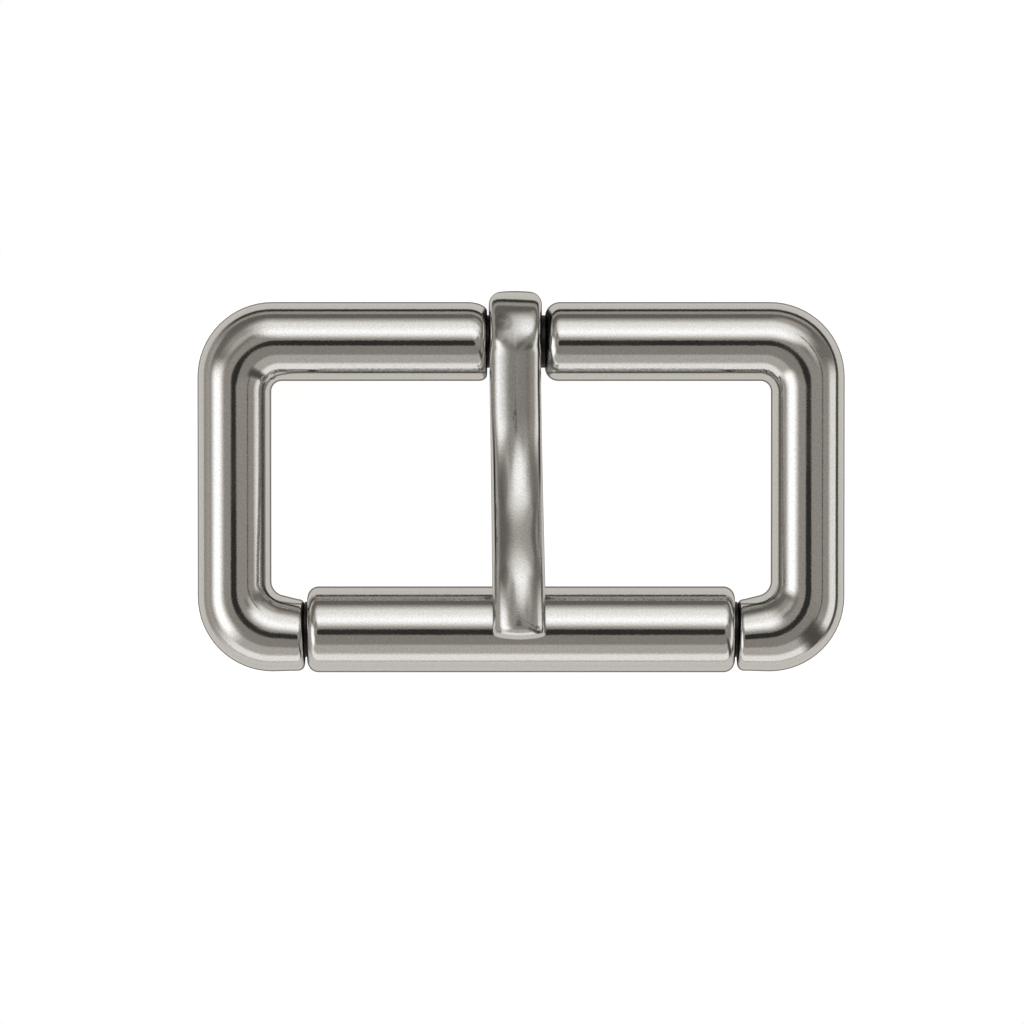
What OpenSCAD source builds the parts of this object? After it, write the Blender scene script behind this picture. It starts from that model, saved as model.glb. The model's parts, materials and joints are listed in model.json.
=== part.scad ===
// Roller buckle for a 38 mm strap, lying on its back with the tongue at rest on the roller.
// X runs along the bars, Y points from the roller to the heel bar, Z points out of the front face.
// The origin is under the middle of the buckle, on the surface that it lies on.

/* [Frame] */
// Clear width between the side bars, which is the strap width
strap_w = 38; // [36:0.5:40]
// Diameter of the heel bar, which the strap folds round
heel_d = 6; // [5.8:0.1:6.2]
// Diameter of the side bars and the corners
side_d = 5.6; // [5.4:0.1:5.8]
// Distance from the heel bar's axis to the roller's axis
span = 21.9; // [21:0.1:23]
// Centre-line radius of the two corners at the heel bar
heel_corner_r = 3.2; // [3.1:0.1:3.6]
// Centre-line radius of the two corners at the roller
roller_corner_r = 3.4; // [3.2:0.1:3.8]
// How far the stubs' axis lies beyond the roller's axis
stub_drop = 0.4; // [0.3:0.05:0.45]
// How far each stub reaches in from the inner edge of its side bar
stub_reach = 2.55; // [2.4:0.05:2.8]
// Diameter of a stub where it ends, beside the roller
stub_end_d = 5.4; // [5.3:0.05:5.5]
// Edge radius of a stub's end
stub_edge_r = 0.5; // [0.3:0.05:0.6]

/* [Tongue seat] */
// Width of the slot in the heel bar
slot_w = 4.4; // [4.3:0.05:4.8]
// Where the slot's middle lies along X
slot_x = -0.38; // [-0.6:0.02:0.6]
// Edge radius of the heel bar's ends beside the slot
slot_edge_r = 0.9; // [0.5:0.1:1.1]
// Diameter of the neck in the slot, which the tongue turns on
neck_d = 4; // [3.6:0.1:4.2]

/* [Roller] */
// Diameter of the roller
roller_d = 6.54; // [6.4:0.02:6.7]
// Edge radius of the roller's ends
roller_edge_r = 0.85; // [0.5:0.05:0.9]
// Diameter of the pin that carries the roller
pin_d = 4.2; // [3.8:0.1:4.4]
// Gap between each end of the roller and its stub
roller_end_gap = 0.2; // [0.15:0.05:0.4]

/* [Tongue] */
// Width of the tongue's loop
loop_w = 4.05; // [3.8:0.05:4.1]
// Outer diameter of the loop
loop_d = 7.68; // [7.5:0.02:7.8]
// Edge radius of the loop
loop_edge_r = 0.9; // [0.5:0.1:1]
// How far the loop sits to the left of the slot's middle
loop_play = 0.07; // [0:0.01:0.08]
// Width of the arm
arm_w = 4; // [3.6:0.1:4]
// Thickness of the arm beside the loop
arm_root_t = 3.2; // [3:0.1:3.4]
// Thickness of the arm over the roller
arm_tip_t = 4.4; // [4:0.1:4.6]
// Height of the arm's crowned upper half
crown_h = 1.5; // [1.3:0.1:1.6]
// Distance from the neck's axis to where the arm starts to climb
level_run = 5.35; // [5:0.05:6]
// Distance from the neck's axis to the tip
tongue_reach = 22.65; // [22.4:0.05:23]
// Lean of the arm to the right, seen from the front, in degrees
lean = 0.97; // [0:0.01:1]

/* [Fits] */
// Radial gap of the eye on the neck and of the roller on its pin
running_gap = 0.08; // [0.05:0.01:0.1]
// Gap between the resting tongue and the roller
rest_gap = 0.1; // [0.05:0.01:0.15]

/* [Hidden] */
$fn = 96;

// Nickel plate as the front shows it, a warm light grey
nickel = [0.75, 0.735, 0.71];
nickel_shade = [0.68, 0.665, 0.64];
nickel_light = [0.8, 0.785, 0.76];

side_r = side_d / 2;
heel_r = heel_d / 2;
roller_r = roller_d / 2;
loop_r = loop_d / 2;
side_x = strap_w / 2 + side_r;

// The taper between the heel bar and each corner
taper_len = 3;
heel_corner_x = side_x - heel_corner_r;

// The stubs end beside the roller, and the heel bar's halves end beside the slot
roller_corner_x = side_x - roller_corner_r;
stub_y = -(span + stub_drop);
stub_end_x = strap_w / 2 - stub_reach;
roller_len = 2 * (stub_end_x - roller_end_gap);
slot_left = slot_x - slot_w / 2;
slot_right = slot_x + slot_w / 2;
neck_sink = 1.5;
pin_sink = 1.5;

// The arm leaves the loop a hair under its top, and its crest lies one tip thickness over the roller
loop_x = slot_x - loop_play;
arm_sink = 0.05;
arm_top = loop_r - arm_sink;
arm_crest = roller_r + rest_gap + arm_tip_t;

// The S of the arm is two arcs that meet at their steepest point
tip_r = crown_h;
crest_run = tongue_reach - tip_r;
climb_run = crest_run - level_run;
climb = arm_crest - arm_top;
climb_angle = 2 * atan(climb / climb_run);
first_share = 0.64;
first_arc_r = first_share * climb_run / sin(climb_angle);
second_arc_r = (1 - first_share) * climb_run / sin(climb_angle);
meet_run = level_run + first_share * climb_run;

// The tip's corners seen from the front, and the roundness of the arm's section
tip_corner_r = 0.45;
section_power = 2.3;
section_points = 24;
arc_steps = 7;
tip_steps = 5;
tip_turn = 88;

// The loop reaches lower than the roller, so the buckle lies tipped by this angle on the two
lie_angle = asin((loop_r - roller_r) / span);
low_y = -max(span * cos(lie_angle) + roller_r, -stub_y * cos(lie_angle) + side_r);
mid_y = (low_y + loop_r) / 2;

// Turns the flat buckle, whose heel axis is the X axis, to where it lies
module lay_down() {
    translate([0, -mid_y, loop_r])
        rotate([lie_angle, 0, 0])
            children();
}

// A round bar from the origin along +X, with its far edge rounded
module round_bar(length, r, edge_r) {
    rotate([0, 90, 0])
        rotate_extrude()
            union() {
                square([r, length - edge_r]);
                square([r - edge_r, length]);
                translate([r - edge_r, length - edge_r])
                    circle(r = edge_r);
            }
}

// A quarter of a ring in the XY plane, from the +X side to the +Y side
module corner(centre_r) {
    rotate_extrude(angle = 90)
        translate([centre_r, 0])
            circle(r = side_r);
}

// Half of the heel bar, from its corner to its end beside the slot
module heel_half(end_x) {
    length = heel_corner_x + end_x;
    translate([-heel_corner_x, 0, 0]) {
        rotate([0, 90, 0])
            cylinder(h = taper_len, r1 = side_r, r2 = heel_r);
        translate([taper_len, 0, 0])
            round_bar(length - taper_len, heel_r, slot_edge_r);
    }
}

// One side bar with its two corners and the stub beside the roller, on the left
module left_side() {
    translate([-heel_corner_x, -heel_corner_r, 0])
        rotate([0, 0, 90])
            corner(heel_corner_r);
    translate([-side_x, -heel_corner_r, 0])
        rotate([90, 0, 0])
            cylinder(h = -heel_corner_r - (stub_y + roller_corner_r), r = side_r);
    translate([-roller_corner_x, stub_y + roller_corner_r, 0])
        rotate([0, 0, 180])
            corner(roller_corner_r);
    translate([-roller_corner_x, stub_y, 0])
        stub();
}

// A stub, which narrows a little towards the roller
module stub() {
    length = roller_corner_x - stub_end_x;
    rotate([0, 90, 0])
        rotate_extrude()
            union() {
                polygon([
                    [0, 0],
                    [side_r, 0],
                    [stub_end_d / 2, length - stub_edge_r],
                    [stub_end_d / 2 - stub_edge_r, length],
                    [0, length]
                ]);
                translate([stub_end_d / 2 - stub_edge_r, length - stub_edge_r])
                    circle(r = stub_edge_r);
            }
}

module frame() {
    neck_len = slot_w + 2 * neck_sink;
    pin_len = 2 * (stub_end_x + pin_sink);
    color(nickel) lay_down() {
        left_side();
        mirror([1, 0, 0])
            left_side();
        heel_half(slot_left);
        mirror([1, 0, 0])
            heel_half(-slot_right);
        translate([slot_x - neck_len / 2, 0, 0])
            rotate([0, 90, 0])
                cylinder(h = neck_len, d = neck_d);
        translate([-pin_len / 2, -span, 0])
            rotate([0, 90, 0])
                cylinder(h = pin_len, d = pin_d);
    }
}

// Height of the arm's top line at a distance from the neck's axis
function top_at(run) =
    run <= level_run ? arm_top
    : run <= meet_run ? arm_top + first_arc_r - sqrt(pow(first_arc_r, 2) - pow(run - level_run, 2))
    : run <= crest_run ? arm_crest - second_arc_r + sqrt(pow(second_arc_r, 2) - pow(crest_run - run, 2))
    : arm_crest - tip_r + sqrt(max(0, pow(tip_r, 2) - pow(run - crest_run, 2)));

// Height of the line where the arm is widest
function middle_at(run) = top_at(min(run, crest_run)) - crown_h;

// Thickness of the arm, which grows evenly over the climb
function thickness_at(run) =
    arm_root_t + (arm_tip_t - arm_root_t) * max(0, min(1, (run - level_run) / climb_run));

function under_at(run) = top_at(min(run, crest_run)) - thickness_at(run);

// Half of the arm's width, less the rounding of the tip's corners
function half_width_at(run) =
    let (over = max(0, run - (tongue_reach - tip_corner_r)))
    arm_w / 2 - tip_corner_r + sqrt(max(0, pow(tip_corner_r, 2) - pow(over, 2)));

function signed_power(value, power) = sign(value) * pow(abs(value), power);

// One section of the arm, square to Y: a flattened oval with a crowned top
function arm_section(run) =
    let (
        middle = middle_at(run),
        above = top_at(run) - middle,
        below = middle - under_at(run),
        half = half_width_at(run)
    )
    [
        for (i = [0 : section_points - 1])
            let (
                turn = 360 * i / section_points,
                across = signed_power(cos(turn), 2 / section_power),
                up = signed_power(sin(turn), 2 / section_power)
            )
            [half * across, -run, middle + (up > 0 ? above : below) * up]
    ];

// Where the sections lie: the root, both arcs of the climb, and the round tip
arm_runs = concat(
    [0],
    [for (i = [0 : arc_steps]) level_run + (meet_run - level_run) * i / arc_steps],
    [for (i = [1 : arc_steps]) meet_run + (crest_run - meet_run) * i / arc_steps],
    [for (i = [1 : tip_steps]) crest_run + tip_r * sin(tip_turn * i / tip_steps)]
);

// The arm as one skin over its sections, closed at both ends
module arm() {
    count = len(arm_runs);
    n = section_points;
    sides = [
        for (s = [0 : count - 2])
            for (i = [0 : n - 1])
                [s * n + i, (s + 1) * n + i, (s + 1) * n + (i + 1) % n, s * n + (i + 1) % n]
    ];
    root_cap = [[for (i = [0 : n - 1]) i]];
    tip_cap = [[for (i = [0 : n - 1]) count * n - 1 - i]];
    polyhedron(
        points = [for (run = arm_runs) each arm_section(run)],
        faces = concat(sides, root_cap, tip_cap)
    );
}

// The loop as a solid wheel with rounded edges, before the eye is bored
module loop_blank() {
    flat = loop_w / 2 - loop_edge_r;
    rotate([0, 90, 0])
        rotate_extrude()
            union() {
                translate([0, -loop_w / 2])
                    square([loop_r - loop_edge_r, loop_w]);
                translate([0, -flat])
                    square([loop_r, 2 * flat]);
                for (side = [-1, 1])
                    translate([loop_r - loop_edge_r, side * flat])
                        circle(r = loop_edge_r);
            }
}

module tongue() {
    color(nickel_light) lay_down()
        translate([loop_x, 0, 0])
            difference() {
                union() {
                    loop_blank();
                    rotate([0, 0, lean])
                        arm();
                }
                translate([-loop_w, 0, 0])
                    rotate([0, 90, 0])
                        cylinder(h = 2 * loop_w, d = neck_d + 2 * running_gap);
            }
}

module roller() {
    color(nickel_shade) lay_down()
        translate([0, -span, 0])
            difference() {
                union() {
                    round_bar(roller_len / 2, roller_r, roller_edge_r);
                    mirror([1, 0, 0])
                        round_bar(roller_len / 2, roller_r, roller_edge_r);
                }
                translate([-roller_len, 0, 0])
                    rotate([0, 90, 0])
                        cylinder(h = 2 * roller_len, d = pin_d + 2 * running_gap);
            }
}

frame();
tongue();
roller();
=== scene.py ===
# %% [markdown]
# # A roller buckle, dressed for its portrait
# The real buckle is three pieces of nickel-plated zinc: a cast frame, a tongue whose loop turns on the
# frame's narrow neck, and a roller that spins on the frame's pin. Polished metal has almost no colour of
# its own, so this lesson has two halves. First each piece gets a surface smooth enough to mirror a room.
# Then a small studio of soft lights and dark cards is built round it, because that is what the eye reads
# as "metal".

# %% Load the frame
import json
import math

import bmesh
import bpy
from mathutils import Matrix, Vector


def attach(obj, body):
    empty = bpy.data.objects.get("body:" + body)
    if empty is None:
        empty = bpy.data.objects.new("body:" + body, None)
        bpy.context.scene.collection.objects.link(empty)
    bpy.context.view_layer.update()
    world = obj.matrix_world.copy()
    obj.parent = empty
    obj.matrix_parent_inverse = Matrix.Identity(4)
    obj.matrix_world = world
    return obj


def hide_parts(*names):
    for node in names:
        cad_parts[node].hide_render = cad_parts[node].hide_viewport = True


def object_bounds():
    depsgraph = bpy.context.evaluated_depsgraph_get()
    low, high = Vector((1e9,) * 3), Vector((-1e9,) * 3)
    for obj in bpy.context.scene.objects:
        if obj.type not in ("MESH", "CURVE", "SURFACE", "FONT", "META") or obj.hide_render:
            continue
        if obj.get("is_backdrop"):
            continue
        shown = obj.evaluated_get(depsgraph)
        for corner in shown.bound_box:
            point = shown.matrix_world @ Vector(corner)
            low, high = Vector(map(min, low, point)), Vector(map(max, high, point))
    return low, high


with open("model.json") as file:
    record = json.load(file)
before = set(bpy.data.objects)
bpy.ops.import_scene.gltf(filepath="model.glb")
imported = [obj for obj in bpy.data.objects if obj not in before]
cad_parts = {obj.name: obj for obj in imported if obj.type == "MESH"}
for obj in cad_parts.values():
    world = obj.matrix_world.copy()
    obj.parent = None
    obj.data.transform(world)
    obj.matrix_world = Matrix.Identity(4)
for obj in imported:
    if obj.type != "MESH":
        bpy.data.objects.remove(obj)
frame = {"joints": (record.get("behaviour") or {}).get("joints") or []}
cad_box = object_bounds()
joints = {joint["name"]: joint for joint in frame["joints"]}

# %% [markdown]
# ## Where the buckle lies
# The buckle lies on its back, resting on the tongue's loop and on the roller. The loop is the thicker of
# the two, so the flat plane of the casting is tipped a little. The pieces are drawn in that flat plane, in
# millimetres, with the heel bar's axis as the X axis, and one matrix lays them down where the frame says.

# %% Lay the flat drawing down
MM = 0.001
neck = Vector(joints["tongue_hinge"]["pos_m"])
pin = Vector(joints["roller_spin"]["pos_m"])
SPAN = math.hypot(neck.y - pin.y, neck.z - pin.z) / MM
lie = math.atan2(neck.z - pin.z, neck.y - pin.y)
LAY_DOWN = (
    Matrix.Translation((0, neck.y, neck.z))
    @ Matrix.Rotation(lie, 4, "X")
    @ Matrix.Scale(MM, 4)
)
print(f"heel axis to roller axis {SPAN:.2f} mm, lying {math.degrees(lie):.2f} degrees off level")

# %% [markdown]
# ## The camera
# The photograph looks straight down on the buckle, from far enough away that the bars hardly lean outwards.
# A long lens at a matching distance gives the same flat look, and the distance follows from how many
# millimetres the picture is wide.

# %% Set up the camera
PICTURE_MM = 77.9
LENS_MM = 200.0
SENSOR_MM = 36.0
AIM_MM = Vector((-0.69, -2.30, 3.5))

camera_data = bpy.data.cameras.new("copy stand camera")
camera_data.lens = LENS_MM
camera_data.sensor_width = SENSOR_MM
camera = bpy.data.objects.new("copy stand camera", camera_data)
camera.location = AIM_MM * MM + Vector((0, 0, PICTURE_MM * LENS_MM / SENSOR_MM * MM))
bpy.context.scene.collection.objects.link(camera)
bpy.context.scene.camera = camera
bpy.context.scene.view_settings.view_transform = "Standard"
print(f"camera {camera.location.z / MM:.0f} mm above the table")

# %% [markdown]
# ## One skin for every piece
# A bent bar, a tongue and a tube look like three different jobs: a curve with a bevel, a subdivided box, a
# lathe. But each is a row of cross-sections with a skin over them. Each section is an oval that reaches a
# given distance over, under and aside of its middle. Its power sets how boxy it is: 2 is an ellipse, and
# the 7 of the tongue's loop is nearly a rectangle. A bow sets its two sides back, and a tilt leans and
# curls its over side. A Geometry Nodes tree can put the skin on, and then the shape of a piece is a short
# list of sections, in which every rounding keeps its true curve. That matters here, because a mirror shows
# every bump of a hand-pushed mesh.

# %% Describe one section
def section(middle, over, under, aside, power=2.0, power_under=None, bow=(0, 0, 0), tilt=(0, 0, 0)):
    """One row of a piece. Vectors are in millimetres, and power_under is for the under side alone."""
    return {
        "middle": Vector(middle),
        "over": Vector(over),
        "under": Vector(under),
        "aside": Vector(aside),
        "bow": Vector(bow),
        "tilt": Vector(tilt),
        "power": power,
        "power_under": power if power_under is None else power_under,
    }


VECTOR_PARTS = ("over", "under", "aside", "bow", "tilt")
NUMBER_PARTS = ("power", "power_under")

# %% [markdown]
# The tree itself reads those values from the points of a spine. It makes a flat grid with one row for each
# section and one column for each step round the oval, looks up the section of every grid point, and moves
# the point to its place. Merging by distance closes the seam, and closes an end whose last section is a
# line. A few helpers keep the wiring readable, here and in the finishes and the studio further down.

# %% Small helpers for wiring nodes
def wire(tree, value, socket):
    """Links a socket's value, or sets a plain one."""
    if isinstance(value, bpy.types.NodeSocket):
        tree.links.new(value, socket)
    elif value is not None:
        socket.default_value = value


def math_node(tree, operation, first, second=None):
    node = tree.nodes.new("ShaderNodeMath")
    node.operation = operation
    wire(tree, first, node.inputs[0])
    wire(tree, second, node.inputs[1])
    return node.outputs[0]


def product(tree, first, *others):
    for other in others:
        first = math_node(tree, "MULTIPLY", first, other)
    return first


def strongest(tree, first, *others):
    for other in others:
        first = math_node(tree, "MAXIMUM", first, other)
    return first


def distance(tree, value, middle=0.0):
    """How far a number lies from the middle, on either side of it."""
    return math_node(tree, "ABSOLUTE", math_node(tree, "SUBTRACT", value, middle))


def squared_sum(tree, first, second):
    return math_node(tree, "ADD", product(tree, first, first), product(tree, second, second))


def mixed(tree, mask, first, second):
    """The first number where the mask is 0, the second where it is 1."""
    change = math_node(tree, "SUBTRACT", second, first)
    return math_node(tree, "ADD", first, product(tree, change, mask))


def vector_node(tree, operation, first, second=None, scale=None):
    node = tree.nodes.new("ShaderNodeVectorMath")
    node.operation = operation
    wire(tree, first, node.inputs[0])
    wire(tree, second, node.inputs[1])
    wire(tree, scale, node.inputs[3])
    gives_number = operation in ("LENGTH", "DOT_PRODUCT")
    return node.outputs[1 if gives_number else 0]


# %% Look up a section's values inside the tree
def sampled(tree, spine, row, name, data_type):
    if name == "middle":
        source = tree.nodes.new("GeometryNodeInputPosition").outputs[0]
    else:
        attribute = tree.nodes.new("GeometryNodeInputNamedAttribute")
        attribute.data_type = data_type
        attribute.inputs["Name"].default_value = name
        source = attribute.outputs["Attribute"]
    look_up = tree.nodes.new("GeometryNodeSampleIndex")
    look_up.data_type = data_type
    tree.links.new(spine, look_up.inputs["Geometry"])
    tree.links.new(source, look_up.inputs["Value"])
    tree.links.new(row, look_up.inputs["Index"])
    return look_up.outputs[0]


# %% [markdown]
# Half of the steps round an oval are on its over side and half on its under side. The two places where the
# sides meet count as over, although rounding may leave their sine a hair below zero.

# %% Build the skin tree
MERGE_MM = 0.002
CURL = 1.2
LEVEL_SINE = -1e-5


def make_skin_tree():
    tree = bpy.data.node_groups.new("skin over sections", "GeometryNodeTree")
    sockets = (
        ("Spine", "NodeSocketGeometry"),
        ("Steps Around", "NodeSocketInt"),
        ("Closed Ring", "NodeSocketInt"),
        ("Metal", "NodeSocketMaterial"),
    )
    for name, kind in sockets:
        tree.interface.new_socket(name, in_out="INPUT", socket_type=kind)
    tree.interface.new_socket("Skin", in_out="OUTPUT", socket_type="NodeSocketGeometry")
    given = tree.nodes.new("NodeGroupInput").outputs
    spine, steps, closed = given["Spine"], given["Steps Around"], given["Closed Ring"]

    size = tree.nodes.new("GeometryNodeAttributeDomainSize")
    tree.links.new(spine, size.inputs[0])
    rows = size.outputs["Point Count"]
    columns = math_node(tree, "ADD", steps, 1)
    grid = tree.nodes.new("GeometryNodeMeshGrid")
    tree.links.new(math_node(tree, "ADD", rows, closed), grid.inputs["Vertices X"])
    tree.links.new(columns, grid.inputs["Vertices Y"])

    index = tree.nodes.new("GeometryNodeInputIndex").outputs[0]
    centred = math_node(tree, "ADD", index, 0.5)
    whole_row = math_node(tree, "FLOOR", math_node(tree, "DIVIDE", centred, columns))
    column = math_node(tree, "SUBTRACT", index, product(tree, whole_row, columns))
    row = math_node(tree, "MODULO", whole_row, rows)
    turn = product(tree, math_node(tree, "DIVIDE", column, steps), math.tau)
    is_over = math_node(tree, "GREATER_THAN", math_node(tree, "SINE", turn), LEVEL_SINE)

    found = {name: sampled(tree, spine, row, name, "FLOAT_VECTOR") for name in ("middle", *VECTOR_PARTS)}
    found.update({name: sampled(tree, spine, row, name, "FLOAT") for name in NUMBER_PARTS})
    power = mixed(tree, is_over, found["power_under"], found["power"])
    across = math_node(tree, "COSINE", turn)
    lost = math_node(tree, "POWER", math_node(tree, "ABSOLUTE", across), power)
    kept = strongest(tree, math_node(tree, "SUBTRACT", 1.0, lost), 0.0)
    up = math_node(tree, "POWER", kept, math_node(tree, "DIVIDE", 1.0, power))

    extra_reach = vector_node(tree, "SUBTRACT", found["over"], found["under"])
    reach = vector_node(tree, "ADD", found["under"], vector_node(tree, "SCALE", extra_reach, scale=is_over))
    squared = product(tree, across, across)
    curl = math_node(tree, "SUBTRACT", across, product(tree, squared, CURL))
    lean = product(tree, curl, up, is_over)
    place = found["middle"]
    moves = ((found["aside"], across), (reach, up), (found["bow"], squared), (found["tilt"], lean))
    for way, amount in moves:
        place = vector_node(tree, "ADD", place, vector_node(tree, "SCALE", way, scale=amount))

    move = tree.nodes.new("GeometryNodeSetPosition")
    tree.links.new(grid.outputs["Mesh"], move.inputs["Geometry"])
    tree.links.new(place, move.inputs["Position"])
    merge = tree.nodes.new("GeometryNodeMergeByDistance")
    merge.inputs["Distance"].default_value = MERGE_MM
    tree.links.new(move.outputs[0], merge.inputs["Geometry"])
    smooth = tree.nodes.new("GeometryNodeSetShadeSmooth")
    tree.links.new(merge.outputs[0], smooth.inputs["Geometry"])
    realize = tree.nodes.new("GeometryNodeRealizeInstances")
    tree.links.new(smooth.outputs[0], realize.inputs["Geometry"])
    finish = tree.nodes.new("GeometryNodeSetMaterial")
    tree.links.new(realize.outputs[0], finish.inputs["Geometry"])
    tree.links.new(given["Metal"], finish.inputs["Material"])
    result = tree.nodes.new("NodeGroupOutput")
    tree.links.new(finish.outputs[0], result.inputs["Skin"])
    return tree


SKIN = make_skin_tree()
print("skin tree with", len(SKIN.nodes), "nodes")

# %% [markdown]
# A piece is finished in four moves: the sections become a spine, the tree puts the skin on, the result is
# kept as a plain mesh, and that mesh is laid down. Its normals are worked out afresh, and edges where
# two faces meet at more than 35 degrees stay crisp, while all the rest shade smoothly.

# %% Turn sections into a finished piece
CRISP_ANGLE = math.radians(35)


def input_named(tree, name):
    return next(item.identifier for item in tree.interface.items_tree if item.name == name)


def spine_mesh(name, sections):
    mesh = bpy.data.meshes.new(name)
    mesh.from_pydata([row["middle"] for row in sections], [], [])
    for part in VECTOR_PARTS:
        attribute = mesh.attributes.new(part, "FLOAT_VECTOR", "POINT")
        attribute.data.foreach_set("vector", [number for row in sections for number in row[part]])
    for part in NUMBER_PARTS:
        attribute = mesh.attributes.new(part, "FLOAT", "POINT")
        attribute.data.foreach_set("value", [row[part] for row in sections])
    return mesh


def keep_as_mesh(piece):
    """Swaps the piece's mesh for what its modifiers make of it, and drops them."""
    bpy.context.view_layer.update()
    depsgraph = bpy.context.evaluated_depsgraph_get()
    mesh = bpy.data.meshes.new_from_object(piece.evaluated_get(depsgraph))
    piece.modifiers.clear()
    piece.data = mesh


def skinned(name, sections, steps, closed, metal):
    piece = bpy.data.objects.new(name, spine_mesh(name, sections))
    bpy.context.scene.collection.objects.link(piece)
    skin = piece.modifiers.new("skin", "NODES")
    skin.node_group = SKIN
    skin[input_named(SKIN, "Steps Around")] = steps
    skin[input_named(SKIN, "Closed Ring")] = int(closed)
    skin[input_named(SKIN, "Metal")] = metal
    keep_as_mesh(piece)
    return piece


def settle(piece):
    """Turns the faces outwards, keeps crisp edges crisp and lays the piece down."""
    shape = bmesh.new()
    shape.from_mesh(piece.data)
    bmesh.ops.recalc_face_normals(shape, faces=shape.faces)
    open_edges = sum(not edge.is_manifold for edge in shape.edges)
    volume = shape.calc_volume(signed=True)
    shape.to_mesh(piece.data)
    shape.free()
    piece.data.set_sharp_from_angle(angle=CRISP_ANGLE)
    piece.data.transform(LAY_DOWN)
    piece.data.update()
    print(f"{piece.name}: {len(piece.data.polygons)} faces, {volume:.1f} mm3, {open_edges} open edges")
    return piece


# %% [markdown]
# ## Nickel plate
# Nickel is a warm light grey metal. The plate on the frame is polished but not perfect: under a lens it has
# a fine grain, a few smudges that dull it, and the slow waves that a cast surface keeps. One material
# function gives all three pieces their own mix of these. The even values sit on the shader's own sockets,
# and only the smudges, the flaws, the painted shade and reflections and the relief come from textures and
# masks, on Object coordinates so that they stay put.

# %% Nodes that the finishes are made of
def coordinate(tree, kind):
    """A piece's Object or Normal coordinates, or the world's Generated ones, which are directions."""
    return tree.nodes.new("ShaderNodeTexCoord").outputs[kind]


def axes(tree, vector):
    node = tree.nodes.new("ShaderNodeSeparateXYZ")
    tree.links.new(vector, node.inputs[0])
    return node.outputs


def noise(tree, scale, detail=2.0):
    node = tree.nodes.new("ShaderNodeTexNoise")
    node.inputs["Scale"].default_value = scale
    node.inputs["Detail"].default_value = detail
    tree.links.new(coordinate(tree, "Object"), node.inputs["Vector"])
    return node.outputs[0]


def ramp(tree, value, low, high, to_low=0.0, to_high=1.0, smooth=True):
    node = tree.nodes.new("ShaderNodeMapRange")
    node.interpolation_type = "SMOOTHSTEP" if smooth else "LINEAR"
    wire(tree, value, node.inputs["Value"])
    node.inputs["From Min"].default_value = low
    node.inputs["From Max"].default_value = high
    node.inputs["To Min"].default_value = to_low
    node.inputs["To Max"].default_value = to_high
    return node.outputs["Result"]


def ramp_mm(tree, value, low, high, to_low=0.0, to_high=1.0):
    """A smooth ramp between two places that are given in millimetres."""
    return ramp(tree, value, low * MM, high * MM, to_low, to_high)


def inside(tree, value, low, high, edge):
    """1 between low and high, falling to 0 over the edge on either side, in millimetres."""
    after = ramp_mm(tree, value, low - edge, low)
    before = ramp_mm(tree, value, high, high + edge, 1, 0)
    return product(tree, after, before)


def relief(tree, height, depth_m, below=None):
    """Raises the surface by the depth where the height is 1, or hollows it where the depth is negative."""
    node = tree.nodes.new("ShaderNodeBump")
    node.inputs["Distance"].default_value = depth_m
    wire(tree, height, node.inputs["Height"])
    wire(tree, below, node.inputs["Normal"])
    return node.outputs["Normal"]


# %% Make a nickel finish
NICKEL = (0.615, 0.609, 0.597)
GRAIN_PER_M = 7500.0
GRAIN_SPAN = (0.3, 0.7)
SPECKLE = 0.085
WAVES_PER_M = 160.0
WAVES_DETAIL = 1.0
WAVES_M = 3e-6
SMUDGES_PER_M = 240.0
SMUDGES_DETAIL = 4.0
SMUDGES_SPAN = (0.35, 0.75)
SMUDGES_DULL = 0.05
TOP_FACING = (0.78, 0.94)
# painted shade: near black in the slot, the stub gaps, the roller's ends and the loop's flanks
PAINTED_SHADE_COLOUR = (0.035, 0.034, 0.032, 1.0)
RECESS_ROUGHNESS = 0.45


def speckled(tree, grain):
    """The nickel colour, a little darker in the low grain and lighter in the high."""
    amount = ramp(tree, grain, *GRAIN_SPAN, 1 - SPECKLE, 1 + SPECKLE, smooth=False)
    return vector_node(tree, "SCALE", NICKEL, scale=amount)


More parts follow.
